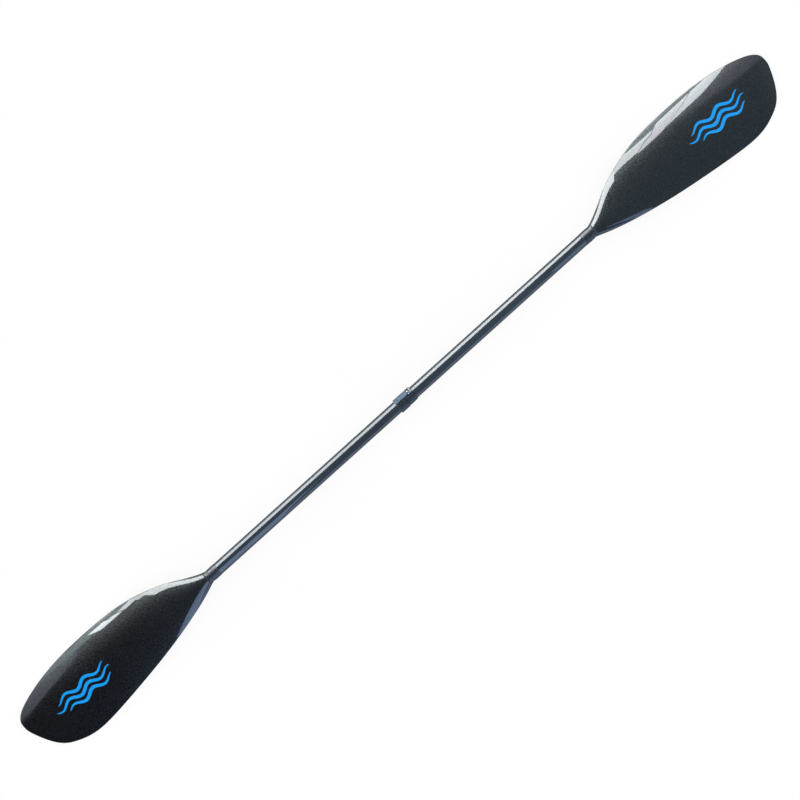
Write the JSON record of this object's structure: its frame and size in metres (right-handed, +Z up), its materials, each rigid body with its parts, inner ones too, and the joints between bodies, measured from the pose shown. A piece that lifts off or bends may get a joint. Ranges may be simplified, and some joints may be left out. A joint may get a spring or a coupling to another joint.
{
  "type": "kayak paddle",
  "caption": "Take-apart wing kayak paddle: straight tube shaft, asymmetric scooped blades with a rolled edge, and a lever-locked ferrule that sets length and feather.",
  "frame": {"origin": "on the floor under the shaft axis, midway between the blade tips", "axes": "+X along the shaft away from the collar's fixed half (the collar is bonded on the -X half), +Y across the blades towards their rolled edges, +Z up, out of the blades' convex backs"},
  "size_m": [2.15, 0.1743, 0.049],
  "materials": {
    "carbon_gloss": "gloss",
    "laminate": "satin",
    "foam": "matte",
    "sleeve_matte": "matte",
    "collar_plastic": "satin",
    "lever_metal": "satin",
    "steel": "satin",
    "shoe_plastic": "matte",
    "seal_rubber": "matte"
  },
  "bodies": {
    "left_half": {"left_blade_back_skin": "carbon_gloss", "left_blade_power_skin": "carbon_gloss", "left_blade_core": "foam", "left_neck_tenon": "laminate", "left_neck_sleeve": "sleeve_matte", "left_shaft_tube": "carbon_gloss", "left_shaft_bulkhead": "foam", "clamp_collar": "collar_plastic", "lever_hinge_pins": "steel"},
    "right_half": {"right_blade_back_skin": "carbon_gloss", "right_blade_power_skin": "carbon_gloss", "right_blade_core": "foam", "right_neck_tenon": "laminate", "right_neck_sleeve": "sleeve_matte", "right_shaft_tube": "carbon_gloss", "right_shaft_bulkhead": "foam", "spigot_tube": "laminate", "spigot_end_cap": "collar_plastic"},
    "mouth_ring": {"mouth_seal_ring": "seal_rubber"},
    "lever": {"clamp_lever": "lever_metal"},
    "screw": {"tension_screw": "steel"},
    "shoe": {"pressure_shoe": "shoe_plastic"}
  },
  "joints": [
    {"name": "feather", "type": "hinge", "parent": "left_half", "child": "mouth_ring", "pos_m": [0, 0, 0.02979], "axis": [1, 0, 0], "continuous": true},
    {"name": "length", "type": "slide", "parent": "mouth_ring", "child": "right_half", "axis": [1, 0, 0], "range_m": [0, 0.23]},
    {"name": "lever_swing", "type": "hinge", "parent": "left_half", "child": "lever", "pos_m": [0.0305, 0.01059, 0.04334], "axis": [0, 0.788, -0.6157], "range_deg": [0, 120]},
    {"name": "tension_turn", "type": "hinge", "parent": "lever", "child": "screw", "pos_m": [0.0305, 0.01059, 0.04334], "axis": [0, 0.6157, 0.788], "range_deg": [-90, 90]},
    {"name": "shoe_lift", "type": "slide", "parent": "left_half", "child": "shoe", "axis": [0, 0.6157, 0.788], "range_m": [0, 0.0005]}
  ],
  "couplings": [
    {"joint": "shoe_lift", "follows": "lever_swing", "m_per_rad": 0.0002}
  ]
}
